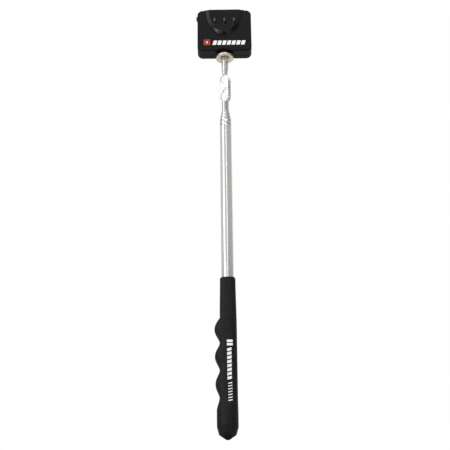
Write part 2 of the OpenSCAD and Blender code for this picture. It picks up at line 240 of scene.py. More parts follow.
def combine(piece, tool, operation="DIFFERENCE", crease_deg=35):
    """Cuts a tool out of a piece, or joins it on, and removes the tool."""
    change = piece.modifiers.new("combine", "BOOLEAN")
    change.operation = operation
    change.object = tool
    change.solver = "EXACT"
    graph = bpy.context.evaluated_depsgraph_get()
    before = piece.data
    piece.data = bpy.data.meshes.new_from_object(piece.evaluated_get(graph))
    piece.data.name = piece.name
    piece.modifiers.clear()
    bpy.data.meshes.remove(before)
    bpy.data.objects.remove(tool)
    bm = bmesh.new()
    bm.from_mesh(piece.data)
    bmesh.ops.dissolve_degenerate(bm, dist=1e-7, edges=bm.edges)
    set_creases(bm, crease_deg)
    bm.to_mesh(piece.data)
    bm.free()
    return piece


def keep_flats_flat(piece):
    """Weights shading by face area, so that wide flat faces stay flat beside rounded edges."""
    weights = piece.modifiers.new("flats", "WEIGHTED_NORMAL")
    weights.keep_sharp = True
    weights.weight = 100


def put(piece, body, material, slot, *nodes):
    """Gives a finished piece its material and its place on a body, and hides the nodes it stands for."""
    piece.data.materials.clear()
    piece.data.materials.append(material)
    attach(piece, body)
    if nodes:
        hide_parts(*nodes)
    return piece


# ---------------------------------------------------------------- materials

RAMP_LIMITS = ("From Min", "From Max", "To Min", "To Max")


class Shader:
    """A material's node tree, with short calls for the nodes that the finishes below share."""

    def __init__(self, name, colour, roughness, metallic=0.0, specular=0.5):
        self.material = bpy.data.materials.new(name)
        self.material.use_nodes = True
        self.tree = self.material.node_tree
        self.surface = self.tree.nodes["Principled BSDF"]
        self.colour = colour
        self.set("Base Color", (*colour, 1.0))
        self.set("Roughness", roughness)
        self.set("Metallic", metallic)
        self.set("Specular IOR Level", specular)
        self.height = None

    def set(self, socket, value):
        self.surface.inputs[socket].default_value = value

    def node(self, kind, **inputs):
        made = self.tree.nodes.new(kind)
        for socket, value in inputs.items():
            made.inputs[socket].default_value = value
        return made

    def link(self, output, target):
        self.tree.links.new(output, target)

    def grain(self, scale, detail=3.0, rough=0.6, stretch=EVEN):
        """Noise in the piece's own space. A stretch below 1 draws the grain out along that axis."""
        place = self.node("ShaderNodeTexCoord")
        mapping = self.node("ShaderNodeMapping", Scale=stretch)
        self.link(place.outputs["Object"], mapping.inputs["Vector"])
        noise = self.node("ShaderNodeTexNoise", Scale=scale, Detail=detail, Roughness=rough)
        self.link(mapping.outputs["Vector"], noise.inputs["Vector"])
        return noise.outputs["Fac"]

    def pebbles(self, scale, smooth=0.6):
        """Rounded cells of the given number per metre."""
        place = self.node("ShaderNodeTexCoord")
        cells = self.node("ShaderNodeTexVoronoi")
        cells.feature = "SMOOTH_F1"
        cells.inputs["Scale"].default_value = scale
        cells.inputs["Smoothness"].default_value = smooth
        self.link(place.outputs["Object"], cells.inputs["Vector"])
        return cells.outputs["Distance"]

    def remap(self, value, low_out, high_out, low_in=0.3, high_in=0.7):
        """Scales a value so that low_in to high_in becomes low_out to high_out."""
        ramp = self.node("ShaderNodeMapRange")
        for socket, number in zip(RAMP_LIMITS, (low_in, high_in, low_out, high_out)):
            ramp.inputs[socket].default_value = number
        self.link(value, ramp.inputs["Value"])
        return ramp.outputs["Result"]

    def maths(self, operation, a, b):
        """A maths operation on two inputs, each a number or another node's output."""
        made = self.node("ShaderNodeMath")
        made.operation = operation
        for socket, value in zip(made.inputs, (a, b)):
            if isinstance(value, (int, float)):
                socket.default_value = value
            else:
                self.link(value, socket)
        return made.outputs["Value"]

    def choose(self, share, first, second):
        """The first shader where the share is 0, and the second where it is 1."""
        made = self.node("ShaderNodeMixShader")
        self.link(share, made.inputs["Fac"])
        self.link(first, made.inputs[1])
        self.link(second, made.inputs[2])
        return made.outputs["Shader"]

    def vary_roughness(self, value, lowest, highest):
        self.link(self.remap(value, lowest, highest), self.surface.inputs["Roughness"])

    def vary_colour(self, value, darker, lighter):
        """Mixes between two brightnesses of the base colour."""
        blend = self.node("ShaderNodeMix")
        blend.data_type = "RGBA"
        blend.inputs["A"].default_value = (*[c * darker for c in self.colour], 1.0)
        blend.inputs["B"].default_value = (*[min(1.0, c * lighter) for c in self.colour], 1.0)
        self.link(self.remap(value, 0.0, 1.0), blend.inputs["Factor"])
        self.link(blend.outputs["Result"], self.surface.inputs["Base Color"])

    def bump(self, value, depth_mm, strength=1.0):
        """Adds a relief of the given depth over the reliefs added before."""
        relief = self.node("ShaderNodeBump", Strength=strength, Distance=depth_mm * MM)
        self.link(value, relief.inputs["Height"])
        if self.height:
            self.link(self.height, relief.inputs["Normal"])
        self.height = relief.outputs["Normal"]
        self.link(self.height, self.surface.inputs["Normal"])


def vinyl():
    shader = Shader("black vinyl", (0.0050, 0.0050, 0.0056), 0.55, specular=0.25)
    shader.vary_colour(shader.grain(260, 4), 0.7, 1.5)
    shader.vary_roughness(shader.grain(900, 5), 0.44, 0.68)
    shader.bump(shader.pebbles(2100), 0.05, 0.55)
    shader.bump(shader.grain(5200, 4), 0.02, 0.6)
    shader.bump(shader.grain(90, 3), 0.12, 0.35)
    return shader.material


def tube_steel():
    shader = Shader("polished tube", (0.80, 0.79, 0.77), 0.16, metallic=1.0)
    shader.vary_colour(shader.grain(2400, 3, stretch=(1, 1, 0.012)), 0.93, 1.06)
    shader.vary_roughness(shader.grain(340, 6, stretch=(1, 1, 0.1)), 0.13, 0.22)
    shader.bump(shader.grain(5200, 2, stretch=(1, 1, 0.002)), 0.003, 0.25)
    shader.bump(shader.grain(40, 2, stretch=(1, 1, 0.2)), 0.015, 0.15)
    return shader.material


def chrome(name, metallic):
    shader = Shader(name, (0.96, 0.96, 0.97), 0.35, metallic)
    shader.vary_roughness(shader.grain(700, 5), 0.42, 0.54)
    shader.bump(shader.grain(420, 4), 0.02, 0.35)
    shader.bump(shader.grain(6000, 2, stretch=(1, 0.2, 1)), 0.003, 0.3)
    return shader.material


def turned_steel():
    shader = Shader("turned steel", (0.76, 0.74, 0.70), 0.2, metallic=1.0)
    shader.vary_colour(shader.grain(900, 5), 0.86, 1.08)
    shader.vary_roughness(shader.grain(1300, 4), 0.14, 0.34)
    shader.bump(shader.grain(3500, 2, stretch=(0.02, 0.02, 1)), 0.006, 0.5)
    return shader.material


def warm_nickel():
    shader = Shader("warm nickel", (0.76, 0.70, 0.59), 0.3, metallic=0.92)
    shader.vary_colour(shader.grain(800, 5), 0.78, 1.08)
    shader.vary_roughness(shader.grain(1700, 4), 0.30, 0.5)
    shader.bump(shader.grain(2600, 4), 0.012, 0.5)
    return shader.material


def zinc():
    shader = Shader("zinc plate", (0.60, 0.60, 0.61), 0.3, metallic=1.0)
    shader.vary_colour(shader.grain(1500, 5), 0.8, 1.12)
    shader.vary_roughness(shader.grain(2600, 4), 0.22, 0.45)
    shader.bump(shader.grain(5000, 3), 0.006, 0.5)
    return shader.material


def bronze():
    shader = Shader("spring bronze", (0.62, 0.42, 0.20), 0.3, metallic=1.0)
    shader.vary_colour(shader.grain(700, 5), 0.75, 1.15)
    shader.vary_roughness(shader.grain(1200, 4), 0.22, 0.5)
    shader.bump(shader.grain(4000, 2, stretch=(1, 1, 0.05)), 0.005, 0.5)
    return shader.material


def moulded_plastic(name, colour, smoothest, roughest, relief_mm, shine):
    shader = Shader(name, colour, smoothest, specular=shine)
    shader.vary_colour(shader.grain(220, 4), 0.82, 1.3)
    shader.vary_roughness(shader.grain(1600, 5), smoothest, roughest)
    shader.bump(shader.grain(4200, 3, 0.7), relief_mm, 0.6)
    shader.bump(shader.grain(45, 2), 0.05, 0.2)
    return shader.material


def ink(name, colour):
    shader = Shader(name, colour, 0.45, specular=0.4)
    shader.vary_colour(shader.grain(1800, 5), 0.86, 1.06)
    shader.vary_roughness(shader.grain(2400, 4), 0.38, 0.6)
    shader.bump(shader.grain(3600, 4), 0.01, 0.5)
    return shader.material


def clear(name, colour, roughness):
    shader = Shader(name, colour, roughness)
    shader.set("Transmission Weight", 0.85)
    shader.set("IOR", 1.49)
    shader.vary_roughness(shader.grain(1500, 3), roughness, roughness + 0.08)
    shader.bump(shader.grain(900, 2), 0.004, 0.3)
    return shader.material


def ground_steel():
    shader = Shader("ground steel", (0.62, 0.62, 0.63), 0.28, metallic=1.0)
    shader.vary_colour(shader.grain(1900, 4, stretch=(0.02, 1, 1)), 0.78, 1.12)
    shader.vary_roughness(shader.grain(1300, 5, stretch=(0.03, 1, 1)), 0.2, 0.42)
    shader.bump(shader.grain(4200, 3, stretch=(0.01, 1, 1)), 0.008, 0.6)
    return shader.material


def circuit_green():
    shader = Shader("solder mask", (0.015, 0.13, 0.05), 0.3, specular=0.5)
    shader.vary_colour(shader.pebbles(420), 0.75, 1.35)
    shader.bump(shader.grain(2600, 2), 0.02, 0.4)
    return shader.material


VINYL = vinyl()
TUBE_STEEL = tube_steel()
CHROME = chrome("bright chrome", 1.0)
SATIN_CHROME = chrome("satin chrome", 0.75)
TURNED_STEEL = turned_steel()
NICKEL = warm_nickel()
ZINC = zinc()
BRONZE = bronze()
SHELL_BLACK = moulded_plastic("black shell plastic", (0.0024, 0.0024, 0.0026), 0.38, 0.55, 0.025, 0.16)
DOOR_BLACK = moulded_plastic("black door plastic", (0.0018, 0.0017, 0.0030), 0.15, 0.22, 0.005, 0.30)
BUTTON_BLACK = moulded_plastic("black button plastic", (0.005, 0.005, 0.0055), 0.26, 0.38, 0.008, 0.3)
INNER_GREY = moulded_plastic("grey inner plastic", (0.045, 0.045, 0.05), 0.4, 0.55, 0.02, 0.3)
PRINT_WHITE = ink("white ink", (0.74, 0.74, 0.75))
PRINT_RED = ink("red ink", (0.30, 0.018, 0.010))
LAMP_CLEAR = clear("clear epoxy", (0.97, 0.96, 0.88), 0.04)
LENS_CLEAR = clear("clear window", (0.96, 0.98, 1.0), 0.03)
GROUND_STEEL = ground_steel()
BOARD_GREEN = circuit_green()

CAD_FINISHES = {
    "tube_end_plug": INNER_GREY,
    "second_tube_sleeve": BRONZE,
    "third_tube_sleeve": BRONZE,
    "inner_tube_sleeve": BRONZE,
    "link_screw": SATIN_CHROME,
    "link_lock_washer": ZINC,
    "link_nut": ZINC,
    "stem_wave_washer": ZINC,
    "stem_clip": ZINC,
    "cover_screws": ZINC,
    "coin_cells": GROUND_STEEL,
    "cell_ring": INNER_GREY,
    "cell_contact_plus": BRONZE,
    "cell_contact_minus": BRONZE,
    "circuit_board": BOARD_GREEN,
    "switch_body": INNER_GREY,
    "led_lamps": LAMP_CLEAR,
    "magnet": ZINC,
    "pole_plate": GROUND_STEEL,
}

EDGE_ROUNDS = {"link_screw": 0.15, "link_nut": 0.15, "cover_screws": 0.1, "pole_plate": 0.25}


def finish_cad_nodes():
    """Materials for the CAD nodes that are shown as they are."""
    for node, material in CAD_FINISHES.items():
        piece = frame["nodes"][node]
        piece.data.materials.clear()
        piece.data.materials.append(material)
        for face in piece.data.polygons:
            face.material_index = 0


def round_edges(node, radius_mm):
    """A bevel over a CAD node's edges, which leaves its own mesh alone."""
    piece = frame["nodes"][node]
    weld = piece.modifiers.new("weld", "WELD")
    weld.merge_threshold = 1e-6
    edges = piece.modifiers.new("edges", "BEVEL")
    edges.width = radius_mm * MM
    edges.segments = 3
    edges.limit_method = "ANGLE"
    edges.angle_limit = math.radians(40)
    edges.harden_normals = True


# ---------------------------------------------------------------- grip

GRIP_TOP = high("grip").z - 1.0
GRIP_SQUARENESS = 3.0
GRIP_LIP = 0.5
# The three finger ridges: the top one's crest, and the softness of its upper flank and of the rest.
RIDGE_TOP_Z = 83.1
RIDGE_PITCH = 21.1
TOP_FLANK_H = 9.0
TOP_FLANK_SOFT = 0.1
VALLEY_SOFT = 1.0
RIDGE_CRESTS = (10.35, 10.2, 9.9)
VALLEY_TOP = 6.35
VALLEY_BOTTOM = 7.0
RIDGES_END = RIDGE_TOP_Z - (len(RIDGE_CRESTS) - 0.5) * RIDGE_PITCH
BUTT_R = high("grip").y
BUTT_X = high("grip").x - BUTT_R
BUTT_SWELL = (21.0, 31.0)
BUTT_CHAMFER_Z = 9.4
BUTT_CORNER = (BUTT_R - 1.5, 3.8)
BUTT_TIP_R = 1.2
NECK_R = 5.95
BACK_R = 6.4
BORE_FLOOR = low("tube_end_plug").z


def finger_reach(z):
    """How far the grip stands out on the finger side, above the butt."""
    neck = mix(VALLEY_TOP, NECK_R, smoothstep(RIDGE_TOP_Z + RIDGE_PITCH / 2, GRIP_TOP, z))
    along = 0.5 + (RIDGE_TOP_Z - z) / RIDGE_PITCH
    if along < 0.5:
        along = 0.5 - (z - RIDGE_TOP_Z) / (2 * TOP_FLANK_H)
    if along <= 0:
        return neck
    along = min(along, len(RIDGE_CRESTS) - 1e-6)
    crest = RIDGE_CRESTS[int(along)]
    valley = mix(VALLEY_TOP, VALLEY_BOTTOM, along / len(RIDGE_CRESTS))
    soft = TOP_FLANK_SOFT if z > RIDGE_TOP_Z else VALLEY_SOFT
    wave = math.sqrt(math.sin(math.pi * along) ** 2 + soft * soft) - soft
    return valley + (crest - valley) * wave / (math.sqrt(1 + soft * soft) - soft)


def butt_scale(z):
    """How much the butt narrows towards its tip, from 1 at the start of its chamfer."""
    corner_r, corner_z = BUTT_CORNER
    profile = rounded([
        (0, 0, 0), (BUTT_TIP_R, 0, 0.8), (corner_r, corner_z, 1.6), (BUTT_R, BUTT_CHAMFER_Z, 5),
        (BUTT_R, 2 * BUTT_CHAMFER_Z, 0)
    ], closed=False)
    for (r0, z0), (r1, z1) in zip(profile, profile[1:]):
        if z0 <= z <= z1 and z1 > z0:
            return mix(r0, r1, (z - z0) / (z1 - z0)) / BUTT_R
    return 1.0


def grip_section(z):
    """Centre, finger-side, back and side half-widths of the grip at a height."""
    butt = 1 - smoothstep(*BUTT_SWELL, z)
    back = mix(BACK_R, NECK_R, smoothstep(RIDGE_TOP_Z, GRIP_TOP, z))
    side = mix(back, BUTT_R, butt)
    centre = BUTT_X * butt
    front = mix(finger_reach(max(z, RIDGES_END)), BUTT_R, butt)
    back = mix(back, BUTT_R, butt)
    size = butt_scale(z)
    from_top = GRIP_TOP - z
    if from_top < GRIP_LIP:
        drop = GRIP_LIP - math.sqrt(GRIP_LIP**2 - (GRIP_LIP - from_top) ** 2)
        return centre, front - drop, back - drop, side - drop
    return centre, front * size, back * size, side * size


def grip_squareness(z):
    """The exponent of the grip's section: 2 is an ellipse, more is squarer. The butt is rounder."""
    return mix(GRIP_SQUARENESS, 2.2, 1 - smoothstep(*BUTT_SWELL, z))


def grip_point(z, angle):
    centre, front, back, side = grip_section(z)
    power = 2 / grip_squareness(z)
    across = math.copysign(abs(math.cos(angle)) ** power, math.cos(angle))
    depth = math.copysign(abs(math.sin(angle)) ** power, math.sin(angle))
    return (centre + across * (back if across > 0 else front), side * depth, z)


def grip_heights():
    """Heights of the grip's rings: close together on the rounded ends, even between them."""
    lip = [GRIP_TOP - GRIP_LIP * (1 - math.cos(math.radians(a))) for a in spread(0, 90, 8)]
    butt = spread(0, BUTT_CHAMFER_Z + 4, 34)
    return butt + spread(butt[-1], lip[-1], 230)[1:-1] + lip[::-1]


def build_grip():
    bm = bmesh.new()
    segments = 96
    turn = [2 * math.pi * i / segments for i in range(segments)]
    bore_r = TUBE_R["outer_tube"] + 0.02
    rows = [add_loop(bm, [grip_point(z, t) for t in turn]) for z in grip_heights()]
    for z in (GRIP_TOP, BORE_FLOOR):
        rows.append(add_loop(bm, [(bore_r * math.cos(t), bore_r * math.sin(t), z) for t in turn]))
    for lower, upper in zip(rows, rows[1:]):
        bridge(bm, lower, upper)
    bm.faces.new(rows[0])
    bm.faces.new(rows[-1])
    grip = make_object("grip_sleeve", bm, 50)
    put(grip, "handle", VINYL, "grip_vinyl", "grip")


INK_RISE = 0.035
INK_SUNK = 0.12


def front_of_grip(x, z):
    """The Y of the grip's surface on the printed side."""
    centre, front, back, side = grip_section(z)
    reach = back if x > centre else front
    power = grip_squareness(z)
    return -side * max(0.0, 1 - abs((x - centre) / reach) ** power) ** (1 / power)


def front_of_cover(x, z):
    return -FACE_Y


def front_of_square(x, z):
    return -FACE_Y - INK_RISE


def print_patch(name, corners, surface, body, material, slot, fine=10):
    """A thin layer of ink over a four-cornered patch, which follows the surface under it."""
    bm = bmesh.new()
    (ax, az), (bx, bz), (cx, cz), (dx, dz) = corners
    sheets = []
    for lift in (INK_RISE, -INK_SUNK):
        rows = []
        for v in spread(0, 1, fine):
            points = []
            for u in spread(0, 1, fine):
                x = mix(mix(ax, bx, u), mix(dx, cx, u), v)
                z = mix(mix(az, bz, u), mix(dz, cz, u), v)
                points.append((x, surface(x, z) - lift, z))
            rows.append(add_loop(bm, points))
        for lower, upper in zip(rows, rows[1:]):
            bridge(bm, lower, upper, closed=False)
        rim = rows[0] + [row[-1] for row in rows[1:]]
        rim += rows[-1][-2::-1] + [row[0] for row in rows[-2:0:-1]]
        sheets.append(rim)
    bridge(bm, *sheets)
    put(make_object(name, bm), body, material, slot)


def slanted_bar(x0, z0, width, height, lean):
    """Corners of an upright bar whose top leans to the side."""
    return [(x0, z0), (x0 + width, z0), (x0 + width + lean, z0 + height), (x0 + lean, z0 + height)]


def print_grip():
    """Plain slanted bars down the grip, where the real tool carries lettering."""
    groups = (
        # label, left, right, top, bottom, bars, inked share, lean
        ("block", -1.2, 3.1, 73.2, 68.7, 2, 0.84, 0.0),
        ("bold", -1.1, 2.1, 67.2, 42.6, 8, 0.72, 0.8),
        ("fine", -0.6, 2.4, 40.9, 26.6, 7, 0.40, 0.6)
    )
    for label, x0, x1, top, bottom, count, share, lean in groups:
        height = (top - bottom - lean) * share / count
        for i, z in enumerate(spread(top - lean - height, bottom, count)):
            corners = [(x0, z), (x1, z + lean), (x1, z + lean + height), (x0, z + height)]
            print_patch(f"grip_print_{label}_{i + 1}", corners, front_of_grip, "handle",
                        PRINT_WHITE, "print_white")


def print_head():
    """A red square with a small pale diamond, then a row of white slanted bars, along the cover."""
    square_x, square_z, square = -17.5, 332.0, 5.6
    print_patch("cover_print_square", slanted_bar(square_x, square_z, square, square, 0),
                front_of_cover, "head", PRINT_RED, "print_red", fine=3)
    x, z, half = square_x + square / 2, square_z + square / 2, 1.0
    diamond = [(x, z - half), (x + half, z), (x, z + half), (x - half, z)]
    print_patch("cover_print_diamond", diamond, front_of_square, "head", PRINT_WHITE, "print_white",
                fine=3)
    bar_z, bar_h, lean = 332.2, 4.2, 1.1
    count, first_x, last_x = 7, -10.1, 17.7
    gap = 1.0
    width = (last_x - first_x - lean - gap * (count - 1)) / count
    for i in range(count):
        x0 = first_x + i * (width + gap)
        print_patch(f"cover_print_bar_{i + 1}", slanted_bar(x0, bar_z, width, bar_h, lean),
                    front_of_cover, "head", PRINT_WHITE, "print_white", fine=3)


# ---------------------------------------------------------------- tubes

def build_tube(node, body, next_node):
    """A drawn tube with its mouth rolled in around the next tube, and two shallow crimp rings."""
    radius = TUBE_R[node]
    bore = radius - TUBE_WALL
    foot = low(node).z
    mouth = high(node).z
    throat = TUBE_R[next_node] + SLIDE_FIT
    neck = mouth - 4
    lip_r = throat + TUBE_WALL
    groove = 0.14
    outside = [(radius, foot, 0.1), (radius, neck - 3.2, 0.3), (radius - groove, neck - 2.7, 0.3),
               (radius - groove, neck - 2.3, 0.3), (radius, neck - 1.8, 0.3), (radius, neck + 0.4, 0.5),
               (lip_r - groove, neck + 1.1, 0.25), (lip_r - groove, neck + 1.5, 0.25),
               (lip_r, neck + 1.9, 0.3), (lip_r, mouth, 0.3)]
    inside = [(throat, mouth, 0.08), (throat, neck, 0), (bore, neck - 1.5, 0), (bore, foot, 0.1)]
    tube = lathe(node + "_drawn", rounded(outside + inside, 5), ring=True)
    put(tube, body, TUBE_STEEL, "tube_steel", node)


def build_inner_tube():
    radius = TUBE_R["inner_tube"]
    foot = low("inner_tube").z
    mouth = high("inner_tube").z
    bore = radius - TUBE_WALL
    profile = rounded([
        (radius, foot, 0.1), (radius, mouth, 0.25), (bore, mouth, 0.1), (bore, foot, 0.1)
    ])
    put(lathe("inner_tube_drawn", profile, ring=True), "inner_stage", TUBE_STEEL, "tube_steel",
        "inner_tube")


# ---------------------------------------------------------------- double ball joint

PLATE_GAP = 3.0
PLATE_SHEET = 1.0
PLATE_HALF_W = 4.15
DOME_WALL = 0.8
DOME_BLEND = 1.1
BALL_NECK_R = 1.35
STEM_R = 2.75
SEAT_R = BALL_R + RUN_FIT


def build_ball_stud():
    foot = low("ball_stud").z
    tube_top = high("inner_tube").z
    tube_bore = TUBE_R["inner_tube"] - TUBE_WALL
    shoulder = tube_top + 0.6
    start = math.degrees(math.asin(BALL_NECK_R / BALL_R))
    ball = arc(0, LOWER_BALL_Z, BALL_R, -90 + start, 90, 28)
    shank = rounded([
        (0, foot, 0), (tube_bore - RUN_FIT, foot, 0.3), (tube_bore - RUN_FIT, tube_top + 0.01, 0),
        (TUBE_R["inner_tube"], tube_top + 0.01, 0.1), (TUBE_R["inner_tube"], shoulder, 0.2),
        (BALL_NECK_R, shoulder, 0.3), (BALL_NECK_R, LOWER_BALL_Z - BALL_R, 0)
    ], closed=False)
    put(lathe("ball_stud_turned", shank + ball[:-1] + [(0, LOWER_BALL_Z + BALL_R)]),
        "lower_ball", CHROME, "joint_chrome", "ball_stud")


def build_stem():
    top = high("head_stem").z
    clip_low = low("stem_clip").z - 0.01
    clip_high = high("stem_clip").z + 0.01
    groove_r = 2.3
    cone = ((BALL_NECK_R, UPPER_BALL_Z + 4.45, 0.4), (2.05, 306.6, 1.5), (STEM_R, 312.5, 3.0))
    start = math.degrees(math.asin(BALL_NECK_R / BALL_R))
    ball = arc(0, UPPER_BALL_Z, BALL_R, -90, 90 - start, 28)
    shaft = rounded([
        (BALL_NECK_R, UPPER_BALL_Z + BALL_R, 0), *cone, (STEM_R, clip_low, 0), (groove_r, clip_low, 0),
        (groove_r, clip_high, 0), (STEM_R, clip_high, 0), (STEM_R, top, 0.3), (0, top, 0)
    ], closed=False)
    put(lathe("head_stem_turned", [(0, UPPER_BALL_Z - BALL_R)] + ball[1:] + shaft), "stem",
        TURNED_STEEL, "stem_steel", "head_stem")


def stadium(inset, straight=12, round_end=26):
    """A long round-ended outline around both ball centres, as (x, z), at an inset from the edge."""
    r = PLATE_HALF_W - inset
    right = [(r, z) for z in spread(LOWER_BALL_Z, UPPER_BALL_Z, straight)]
    left = [(-r, z) for z in spread(UPPER_BALL_Z, LOWER_BALL_Z, straight)]
    top = arc(0, UPPER_BALL_Z, r, 0, 180, round_end)
    bottom = arc(0, LOWER_BALL_Z, r, 180, 360, round_end)
    return right[:-1] + top[:-1] + left[:-1] + bottom[:-1]


def soft_max(a, b, blend):
    """The larger of two heights, with the corner between them rounded."""
    near = clamp(blend - abs(a - b), 0, blend) / blend
    return max(a, b) + near * near * blend / 4


def dome_height(x, z, radius):
    """Height above the plate's inner face of a sphere about the nearer ball."""
    ball_z = LOWER_BALL_Z if z < (LOWER_BALL_Z + UPPER_BALL_Z) / 2 else UPPER_BALL_Z
    across = x * x + (z - ball_z) ** 2
    if across >= radius * radius:
        return -PLATE_GAP
    return math.sqrt(radius * radius - across) - PLATE_GAP / 2


def build_plate(name, node, side):
    """A pressed clamp plate with two domed ball seats and rolled edges. side is -1 in front, 1 behind."""
    edge = 0.45
    loops = 26
    insets = [edge * (1 - math.cos(math.radians(a))) for a in spread(0, 90, 6)]
    insets += spread(edge, PLATE_HALF_W - 1e-3, loops)[1:]
    bm = bmesh.new()
    turn = Matrix.Rotation(-LINK_TURN, 4, "Z")

    def place(x, z, height):
        return turn @ Vector((x, side * (PLATE_GAP / 2 + height), z))

    outer, inner = [], []
    for inset in insets:
        roll = 0.0
        if inset < edge:
            roll = edge - math.sqrt(edge * edge - (edge - inset) ** 2)
        outer_row, inner_row = [], []
        for x, z in stadium(inset):
            skin = soft_max(PLATE_SHEET - roll, dome_height(x, z, SEAT_R + DOME_WALL), DOME_BLEND)
            outer_row.append(place(x, z, skin))
            inner_row.append(place(x, z, max(0.0, dome_height(x, z, SEAT_R))))
        outer.append(add_loop(bm, outer_row))
        inner.append(add_loop(bm, inner_row))
    for rows in (outer, inner):
        for lower, upper in zip(rows, rows[1:]):
            bridge(bm, lower, upper)
        bm.faces.new(rows[-1])
    bridge(bm, outer[0], inner[0])
    finish = SATIN_CHROME if side < 0 else CHROME
    put(make_object(name, bm, 50), "link", finish, "joint_chrome", node)


# ---------------------------------------------------------------- bushing under the head

def build_bushing():
    """A dished flange with a rolled rim, on a barrel that is flared over inside the head."""
    flange_r = high("stem_bushing").x
    foot = low("stem_bushing").z
    top = high("stem_bushing").z
    bore = STEM_R + RUN_FIT
    barrel_r = 3.6
    rim_r = 4.1
    profile = rounded([
        (3.45, foot + 1.0, 0.35), (flange_r - 1.2, foot, 0.6), (flange_r, foot, 0.5),
        (flange_r, foot + 2.3, 0.6), (barrel_r, foot + 2.3, 0.1), (barrel_r, top - 0.79, 0.05),
        (rim_r, top - 0.79, 0.2), (rim_r, top, 0.25), (bore, top, 0.1), (bore, foot + 3.0, 0.4)
    ])
    put(lathe("stem_bushing_flared", profile, ring=True), "head", NICKEL, "bushing_nickel",
        "stem_bushing")


# ---------------------------------------------------------------- head shells

CORNER_R = 4.6
EDGE_R = 1.1
SEAM_GROOVE = 0.3
SCOOP_DEPTH = 1.4
SCOOP_CHORD = 15.0
SCOOP_R = ((SCOOP_CHORD / 2) ** 2 + SCOOP_DEPTH**2) / (2 * SCOOP_DEPTH)
HEAD_TALL = 40.7
HEAD_Z1 = HEAD_HIGH.z
HEAD_Z0 = HEAD_Z1 - HEAD_TALL


def head_outline(inset):
    """The head seen from the back, as (x, z): round corners, and a scoop over the bushing."""
    w = HEAD_HALF_W
    r = CORNER_R
    small = r - inset
    scoop_z = HEAD_Z0 + SCOOP_DEPTH - SCOOP_R
    scoop_r = SCOOP_R + inset
    half_sweep = math.degrees(math.acos((HEAD_Z0 + inset - scoop_z) / scoop_r))
    points = arc(-w + r, HEAD_Z0 + r, small, 180, 270, 12)
    points += arc(0, scoop_z, scoop_r, 90 + half_sweep, 90 - half_sweep, 24)
    points += arc(w - r, HEAD_Z0 + r, small, 270, 360, 12)
    points += arc(w - r, HEAD_Z1 - r, small, 0, 90, 12)
    points += arc(-w + r, HEAD_Z1 - r, small, 90, 180, 12)
    return points


def build_shell(name, side):
    """Half of the head as an open tray. side is -1 for the battery cover and 1 for the magnet's shell."""
    seam = side * SEAM_Y
    stations = [(SEAM_GROOVE, seam), (0.0, seam + SEAM_GROOVE)]
    stations += [
        (EDGE_R * (1 - math.cos(math.radians(a))), FACE_Y - EDGE_R * (1 - math.sin(math.radians(a))))
        for a in spread(0, 90, 9)
    ]
    bm = bmesh.new()
    skin = [add_loop(bm, [(x, side * y, z) for x, z in head_outline(inset)]) for inset, y in stations]
    hollow = [
        add_loop(bm, [(x, side * y, z) for x, z in head_outline(HEAD_WALL)]) for y in (seam, INNER_Y)
    ]
    for rows in (skin, hollow):
        bridge(bm, *rows[:2])
        for lower, upper in zip(rows[1:], rows[2:]):
            bridge(bm, lower, upper)
        bm.faces.new(rows[-1])
    bridge(bm, skin[0], hollow[0])
    shell = make_object(name, bm)
    combine(shell, neck_boss(side), "UNION")
    return combine(shell, neck_hole())


NECK_BOSS_R = 5.2
BUSHING_R = 3.62


def neck_boss(side):
    """One shell's part of the round boss that reaches down to the flange."""
    foot = low("back_cover").z
    edge = 0.3
    bm = bmesh.new()
    rows = []
    for radius, z in ((NECK_BOSS_R - edge, foot), (NECK_BOSS_R, foot + edge),
                      (NECK_BOSS_R, HEAD_Z0 + SCOOP_DEPTH + 0.7)):
        split = math.degrees(math.asin(SEAM_Y / radius))
        sweep = (split, 180 - split) if side > 0 else (180 - split, 360 + split)
        rows.append(add_loop(bm, [(x, y, z) for x, y in arc(0, 0, radius, *sweep, 48)]))
    for lower, upper in zip(rows, rows[1:]):
        bridge(bm, lower, upper)
    bm.faces.new(rows[0])
    bm.faces.new(rows[-1])
    return make_object("boss", bm)


def neck_hole():
    z0, z1 = HEAD_Z0 - 5, HEAD_Z0 + 6
    return lathe("hole", [(0, z0), (BUSHING_R, z0), (BUSHING_R, z1), (0, z1)], 64)


DOOR_A = 15.2
DOOR_B = 25.0
DOOR_POWER = 2.4
DOOR_FLARE = 0.1
DOOR_GAP = 0.15
DOOR_RISE = 1.5
DOOR_TOP_A = 12.0
DOOR_TOP_B = 22.4
DOOR_TOP_POWER = 1.85
DOOR_TOP_ROUND = 0.9
TONGUE = 0.7
LIP = 0.75
DOOR_BACK = -INNER_Y - 0.1


def door_half(share, grow):
    """Half the door's width at a share of its height below the head's top edge."""
    squared = max(0.0, 1 - share**DOOR_POWER) ** (1 / DOOR_POWER)
    return (DOOR_A + grow) * squared * (1 + DOOR_FLARE * (1 - share))


def door_outline(grow, over=0.0, steps=40):
    """The door's squared half ellipse, hung from the head's top edge, as (x, z)."""
    shares = [math.sin(math.radians(t)) for t in spread(0, 90, steps)]
    right = [(door_half(share, grow), HEAD_Z1 - (DOOR_B + grow) * share) for share in shares]
    curve = right + [(-x, z) for x, z in right[-2::-1]]
    if over:
        half = right[0][0]
        curve += [(-half, HEAD_Z1 + over), (half, HEAD_Z1 + over)]
    return curve


